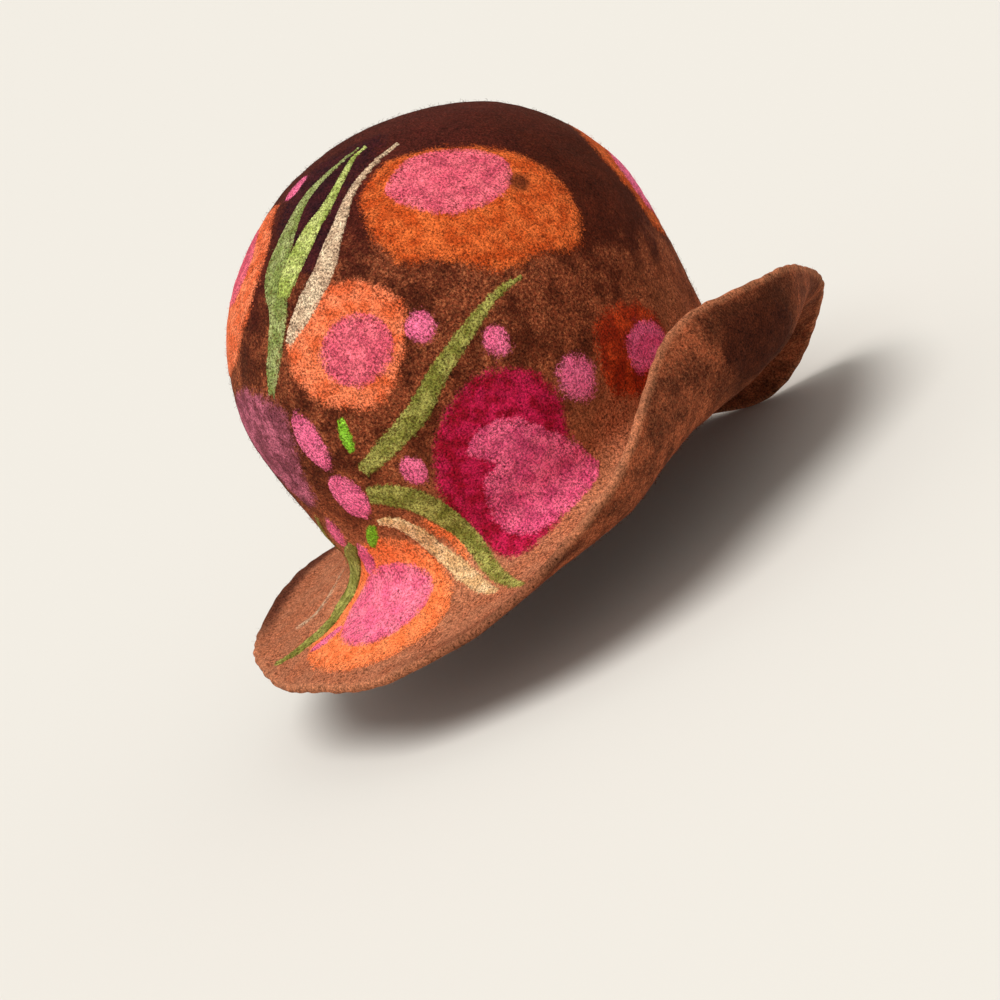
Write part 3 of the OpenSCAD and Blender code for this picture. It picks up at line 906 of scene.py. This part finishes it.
def build_fuzz():
    """Loose fibre ends that stand a little off the felt: thin bent closed cones."""
    draw = np.random.default_rng(11)
    rows, columns = body_rows.shape[:2]
    quads = band_quads(rows, columns)
    corners = flat_body[quads]
    diagonals = corners[:, 2] - corners[:, 0], corners[:, 3] - corners[:, 1]
    area = np.linalg.norm(np.cross(*diagonals), axis=1)
    chosen = draw.choice(len(quads), FIBRES, p=area / area.sum())
    along, over = draw.random((2, FIBRES, 1))
    a, b, c, d = (flat_body[quads[chosen, k]] for k in range(4))
    root = (a * (1 - along) + b * along) * (1 - over) + (d * (1 - along) + c * along) * over
    out = flat_body_out[quads[chosen, 0]]
    lean = np.cross(out, draw.normal(size=(FIBRES, 3)))
    lean /= np.linalg.norm(lean, axis=1, keepdims=True)
    side = np.cross(out, lean)
    length = draw.uniform(*FIBRE_LENGTHS, (FIBRES, 1))
    rise = draw.uniform(*FIBRE_RISES, (FIBRES, 1))
    bend = draw.uniform(*FIBRE_BENDS, (FIBRES, 1))
    middle = root + length * (0.5 * lean + 0.75 * rise * out + bend * side)
    tip = root + length * (lean + rise * out)
    points = [tip]
    foot = root - FIBRE_ROOT * out
    for centre, radius in ((middle, FIBRE_WIDTH * 0.4), (foot, FIBRE_WIDTH / 2)):
        for angle in np.radians((0, 120, 240)):
            points.append(centre + radius * (math.cos(angle) * side + math.sin(angle) * out))
    cone = [[0, 1, 2], [0, 2, 3], [0, 3, 1], [1, 4, 5, 2], [2, 5, 6, 3], [3, 6, 4, 1], [4, 6, 5]]
    step = len(points)
    faces = [[i * step + k for k in face] for i in range(FIBRES) for face in cone]
    near = quads[chosen, 0]
    values = {key: np.repeat(v[near], step) for key, v in body_values.items()}
    cones = np.stack(points, 1).reshape(-1, 3)
    piece = make_piece("felt_fuzz", cones, faces, felts["brown_felt"], values)
    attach(piece, "root")


body = build_body()
build_fuzz()
for node in INLAYS:
    if outer_fields[node].max() > 0:
        build_inlay(node, outer_fields, flat_outer, flat_outward, *drops.shape, outer_values)
    else:
        build_inlay(node, body_fields, flat_body, flat_body_out, *body_rows.shape[:2], body_values)


# ---- sweatband ----

RIBBON_COLOURS = ("#38231b", "#4a3026")
THREAD_COLOURS = ("#5c3c2c", "#8a6048")


def ribbon_lift(heading):
    """Height of the ribbon's felt-side face. It steps in where the ribbon laps its own end."""
    lapped = smoothstep(heading, *LAP_STEP)
    return -FELT - RIBBON_GAP - (RIBBON + LAP_CLEARANCE) * lapped


def ribbon_face(heading, drop, lift):
    """Points at a lift above the smooth outer face."""
    return smooth_face(heading, drop) + smooth_normal(heading, drop) * lift[..., None]


def ribbon_material():
    """Dark brown woven ribbon, a little worn."""
    material, tree, shader = new_material("ribbon")
    weave = noise(tree, 0.5, 31, 2.0)
    wear = noise(tree, 14, 32, 3.0)
    colour = mix(tree, ramp(tree, wear, 0.35, 0.7), *map(tint, RIBBON_COLOURS))
    colour = mix(tree, 1.0, colour, ramp(tree, weave, 0.3, 0.7, 0.75, 1.25), "MULTIPLY")
    bump = tree.nodes.new("ShaderNodeBump")
    bump.inputs["Distance"].default_value = 0.15 * MM
    tree.links.new(weave, bump.inputs["Height"])
    tree.links.new(bump.outputs["Normal"], shader.inputs["Normal"])
    tree.links.new(colour, shader.inputs["Base Color"])
    tree.links.new(ramp(tree, weave, 0.3, 0.7, 0.55, 0.75), shader.inputs["Roughness"])
    shader.inputs["Sheen Weight"].default_value = 0.15
    return material


def build_ribbon():
    """Grosgrain: fine ribs across the ribbon, with a woven selvedge along both edges."""
    columns = RIB_COUNT * 4 + 1
    heading = RIBBON_START + RIBBON_SPAN * np.linspace(0, 1, columns)[None, :]
    # Rows across the ribbon, close together at its two selvedges
    across = np.array([0, 0.02, 0.04, 0.07, 0.3, 0.5, 0.7, 0.93, 0.96, 0.98, 1.0])[:, None]
    top = ROOT_DROP - RIBBON_LOW - RIBBON_HEIGHT
    drop = top + RIBBON_HEIGHT * across
    heading, drop = np.broadcast_arrays(heading, drop)
    rib = RIB_DEPTH * np.cos(2 * np.pi * RIB_COUNT * (heading - RIBBON_START) / RIBBON_SPAN)
    rib = rib * smoothstep(np.minimum(across, 1 - across), *SELVEDGE)
    outer_lift = ribbon_lift(heading) - RIB_INSET - FELT_SIDE_RIB * rib
    head_lift = ribbon_lift(heading) - RIBBON + RIB_INSET + rib
    outer_side = ribbon_face(heading, drop, outer_lift)
    head_side = ribbon_face(heading, drop, head_lift)
    loop = np.vstack([outer_side, head_side[::-1]])
    rows = len(loop)
    index = np.arange(rows * columns).reshape(rows, columns)
    down = np.roll(index, -1, axis=0)
    quads = np.stack([index[:, :-1], index[:, 1:], down[:, 1:], down[:, :-1]], -1).reshape(-1, 4)
    faces = quads.tolist() + [index[::-1, 0].tolist(), index[:, -1].tolist()]
    piece = make_piece("ribbon_band", loop.reshape(-1, 3), faces, ribbon_material())
    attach(piece, "root")
    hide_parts("sweatband")


def stitch(heading, drop, rings, turn):
    """Points of one stitch of two-ply thread, in rings from end to end."""
    t = np.linspace(-1, 1, rings)
    reach = profile(np.array(heading % 360.0), np.array(drop))[0]
    place = heading + math.degrees(STITCH_LENGTH / 2 / reach) * t
    level = np.full(rings, drop)
    stand = THREAD / 2 * (STITCH_STAND - STITCH_DIP * t**4)
    lift = ribbon_lift(np.array(heading)) - RIBBON - stand
    line = ribbon_face(place, level, lift)
    out = smooth_normal(place, level)
    along = np.gradient(line, axis=0)
    along /= np.linalg.norm(along, axis=1, keepdims=True)
    side = np.cross(along, out)
    round_it = np.linspace(0, 2 * np.pi, turn, endpoint=False)[None, :, None]
    twist = np.pi * PLY_TWIST * t[:, None, None]
    radius = THREAD / 2 * (1 - PLY_GROOVE * (1 - np.abs(np.cos(round_it + twist))))
    ring = np.cos(round_it) * out[:, None] + np.sin(round_it) * side[:, None]
    return line[:, None] + radius * ring


def build_stitches():
    """Stitches along both edges of the ribbon. They dip into it at both ends."""
    turn = 12
    rings = 13
    points = []
    faces = []
    lower = ROOT_DROP - RIBBON_LOW - STITCH_INSET
    upper = ROOT_DROP - RIBBON_LOW - RIBBON_HEIGHT + STITCH_INSET
    for i in range(STITCH_COUNT):
        heading = STITCH_START + STITCH_SPAN * i / (STITCH_COUNT - 1)
        for drop in (lower, upper):
            base = len(points) * rings * turn
            index = base + np.arange(rings * turn).reshape(rings, turn)
            beside = np.roll(index, -1, axis=1)
            sides = np.stack([index[:-1], beside[:-1], beside[1:], index[1:]], -1)
            faces += sides.reshape(-1, 4).tolist()
            faces += [index[0, ::-1].tolist(), index[-1].tolist()]
            points.append(stitch(heading, drop, rings, turn).reshape(-1, 3))
    material, tree, shader = new_material("thread")
    colour = mix(tree, noise(tree, 0.3, 41), *map(tint, THREAD_COLOURS))
    tree.links.new(colour, shader.inputs["Base Color"])
    shader.inputs["Roughness"].default_value = 0.6
    piece = make_piece("ribbon_stitching", np.vstack(points), faces, material)
    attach(piece, "root")
    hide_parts("sweatband_stitches")


build_stitches()
build_ribbon()


# ---- floor, light and camera ----

# Half the floor's width in metres
FLOOR = 12
FLOOR_COLOUR = "#dedad2"
SKY_COLOUR = "#f4f2ee"
SKY_STRENGTH = 0.6
SUN_STRENGTH = 2.4
# Spread of the sun's light in degrees. A wide one gives soft shadows.
SUN_SPREAD = 40


def build_floor():
    """A wide, plain, pale floor under the lowest edge of the brim."""
    level = min(v.co.z for v in body.data.vertices)
    corners = ((-1, -1), (1, -1), (1, 1), (-1, 1))
    mesh = bpy.data.meshes.new("floor")
    mesh.from_pydata([(FLOOR * x, FLOOR * y, level) for x, y in corners], [], [(0, 1, 2, 3)])
    floor = bpy.data.objects.new("floor", mesh)
    bpy.context.scene.collection.objects.link(floor)
    material, _, shader = new_material("floor")
    shader.inputs["Base Color"].default_value = tint(FLOOR_COLOUR)
    shader.inputs["Roughness"].default_value = 0.9
    mesh.materials.append(material)


# Where the camera stands, how it is rolled, and its lens in mm
AZIMUTH, ELEVATION, ROLL = (math.radians(a) for a in (235.5, 16, 31.4))
DISTANCE = 1.7
LENS = 135.7
# How far its aim lies from the origin, across and up the picture
AIM_RIGHT, AIM_UP = -9.9 * MM, -32.9 * MM

back = Vector(
    (
        math.sin(AZIMUTH) * math.cos(ELEVATION),
        -math.cos(AZIMUTH) * math.cos(ELEVATION),
        math.sin(ELEVATION),
    )
)
level_right = Vector((0, 0, 1)).cross(back).normalized()
level_up = back.cross(level_right)
image_right = level_right * math.cos(ROLL) - level_up * math.sin(ROLL)
image_up = level_right * math.sin(ROLL) + level_up * math.cos(ROLL)


def build_camera():
    """The camera, rolled, at its distance from the point it aims at."""
    camera = bpy.data.objects.new("camera", bpy.data.cameras.new("camera"))
    camera.data.lens = LENS
    camera.data.clip_end = 100
    turn = Matrix((image_right, image_up, back)).transposed()
    place = image_right * AIM_RIGHT + image_up * AIM_UP + back * DISTANCE
    camera.matrix_world = Matrix.Translation(place) @ turn.to_4x4()
    bpy.context.scene.collection.objects.link(camera)
    bpy.context.scene.camera = camera


def build_sun(towards):
    """A soft light that shines from a direction, evenly over hat and floor."""
    lamp = bpy.data.lights.new("key", "SUN")
    lamp.energy = SUN_STRENGTH
    lamp.angle = math.radians(SUN_SPREAD)
    sun = bpy.data.objects.new("key", lamp)
    sun.rotation_euler = towards.to_track_quat("Z", "Y").to_euler()
    bpy.context.scene.collection.objects.link(sun)


def build_world():
    """Even pale light from all round."""
    world = bpy.data.worlds.new("world")
    world.use_nodes = True
    sky = world.node_tree.nodes["Background"]
    sky.inputs["Color"].default_value = tint(SKY_COLOUR)
    sky.inputs["Strength"].default_value = SKY_STRENGTH
    bpy.context.scene.world = world


build_floor()
build_camera()
build_world()
build_sun(-0.75 * image_right + 0.75 * image_up + 0.8 * back)
bpy.context.scene.view_settings.view_transform = "Standard"
